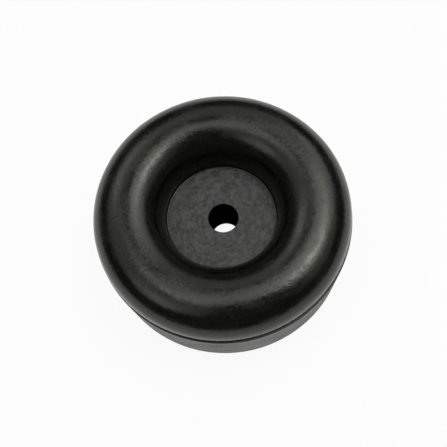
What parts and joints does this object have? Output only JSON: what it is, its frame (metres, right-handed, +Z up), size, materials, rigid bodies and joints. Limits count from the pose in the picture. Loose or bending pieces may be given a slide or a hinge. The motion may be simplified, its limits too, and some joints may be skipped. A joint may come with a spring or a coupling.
{
  "type": "rubber door stop",
  "caption": "Round floor-mounted rubber door stop: a fat rounded ring on a low base, with a recessed screw seat and a through hole.",
  "frame": {"origin": "middle of the flat foot, on the axis of the screw hole", "axes": "+Z up the stop's own axis, from the foot towards the ring's crest; X and Y are free, as the form is round"},
  "size_m": [0.08, 0.08, 0.0304],
  "materials": {
    "rubber": "smooth moulded, semi-gloss black"
  },
  "bodies": {
    "root": {"rubber_stop": "rubber"}
  },
  "joints": []
}
